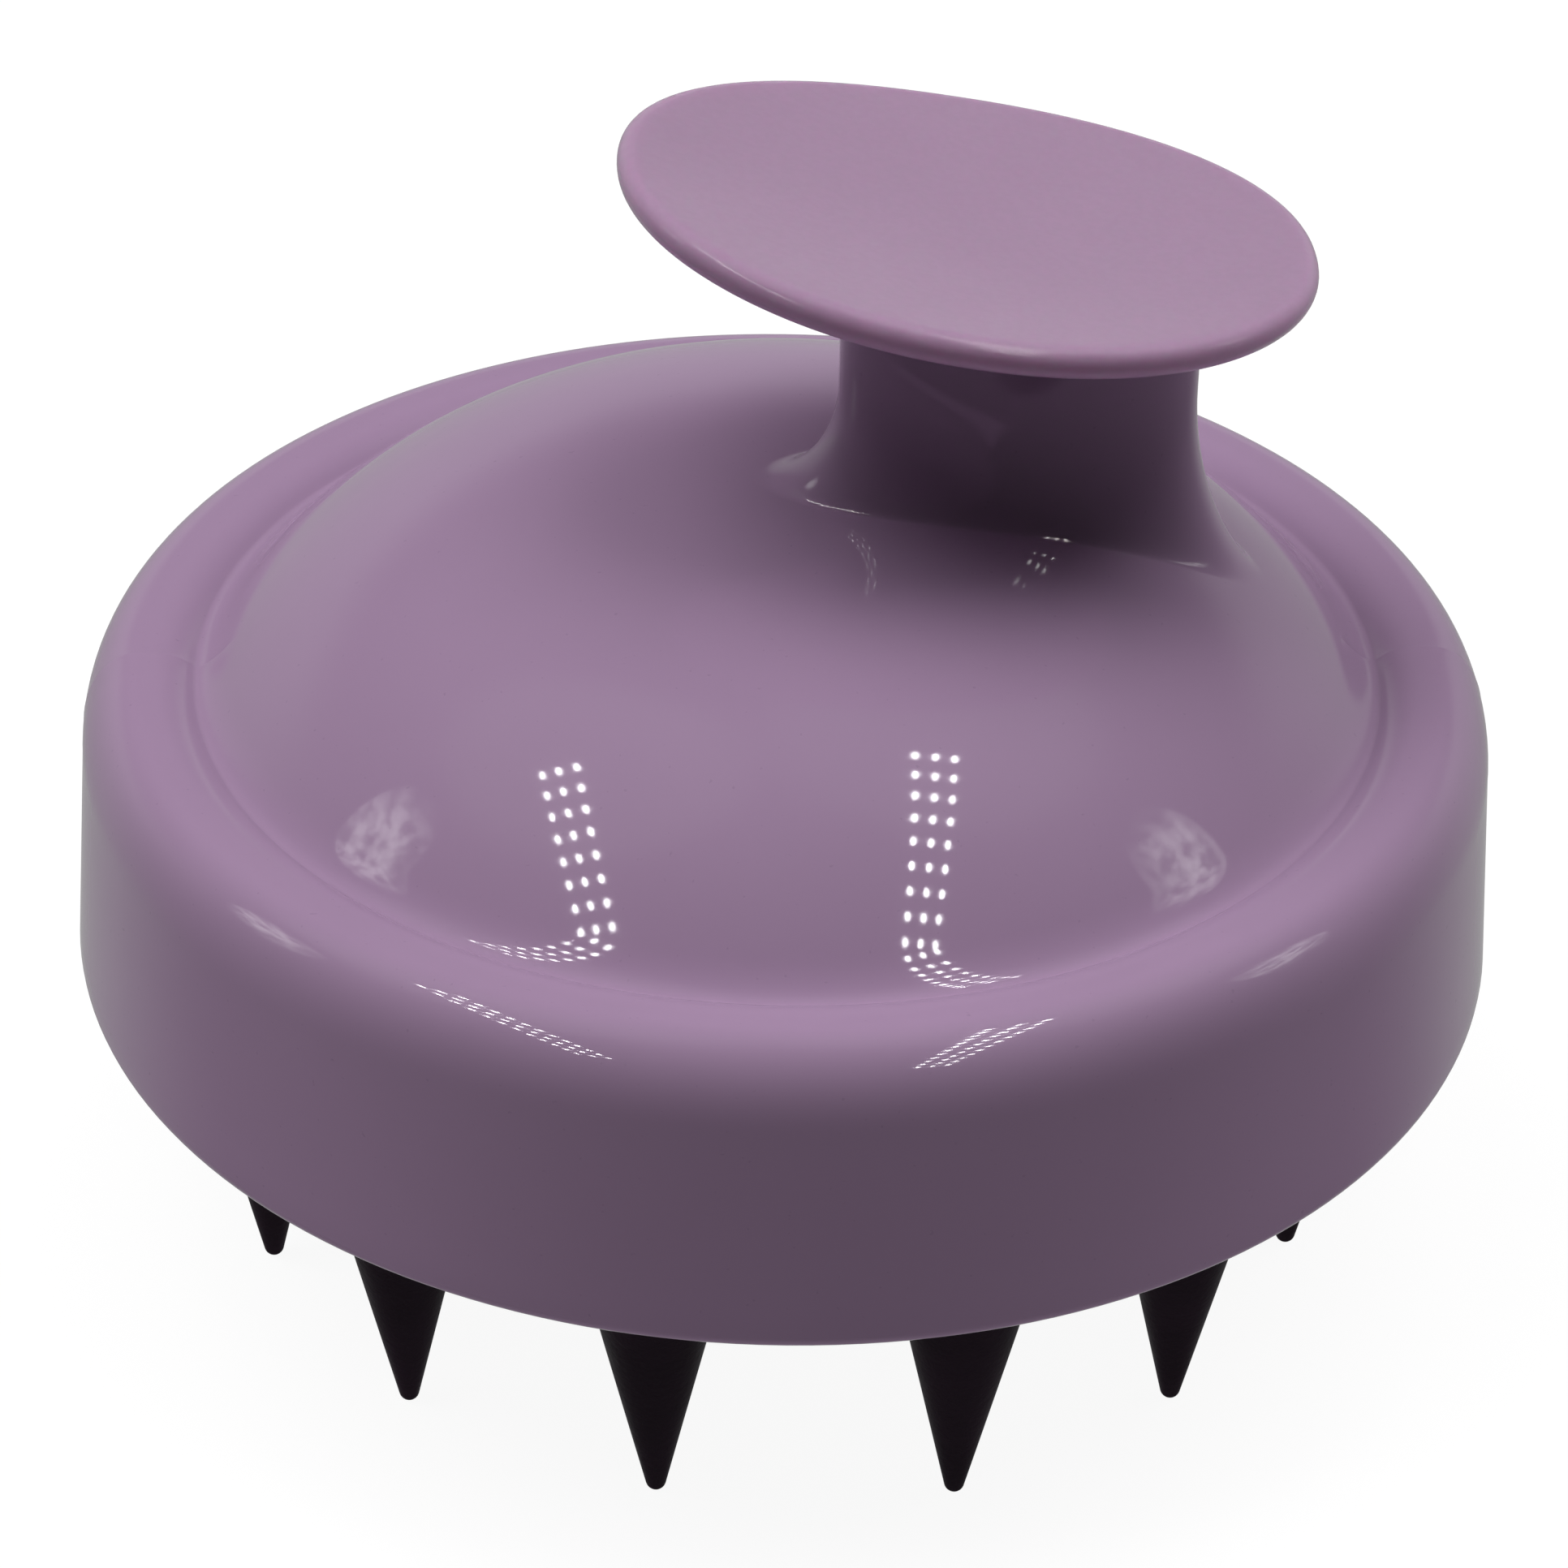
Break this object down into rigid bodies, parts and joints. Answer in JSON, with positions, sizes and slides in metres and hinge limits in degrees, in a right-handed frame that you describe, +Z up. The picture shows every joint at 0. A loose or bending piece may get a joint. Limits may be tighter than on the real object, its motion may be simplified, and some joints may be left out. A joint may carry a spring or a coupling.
{
  "type": "curry comb",
  "caption": "Palm-held curry comb or shampoo brush: a round hard shell with a domed top and rolled lip, an off-centre oval grip and a soft pad of conical teeth.",
  "frame": {"origin": "on the shell's axis, in the plane that the tips of the outer teeth stand on", "axes": "+Z up, from the teeth to the grip; +X towards the side that the grip is offset to and slopes down to; the XZ plane is the mirror plane"},
  "size_m": [0.0846, 0.0846, 0.0706],
  "materials": {
    "shell": "polished lilac ABS",
    "grip": "satin lilac ABS",
    "inner_plastic": "plain moulded ABS",
    "silicone": "soft dark plum silicone",
    "screws": "zinc-plated steel"
  },
  "bodies": {
    "handle": {"shell": "shell", "grip_cap": "grip", "backing_plate": "inner_plastic", "grip_screw_1": "screws", "grip_screw_2": "screws", "plate_screw_1": "screws", "plate_screw_2": "screws", "plate_screw_3": "screws", "plate_screw_4": "screws"},
    "brush_head": {"tooth_pad": "silicone"}
  },
  "joints": [
    {"name": "pad_release", "type": "slide", "parent": "handle", "child": "brush_head", "axis": [0, 0, -1], "range_m": [0, 0.025]}
  ]
}
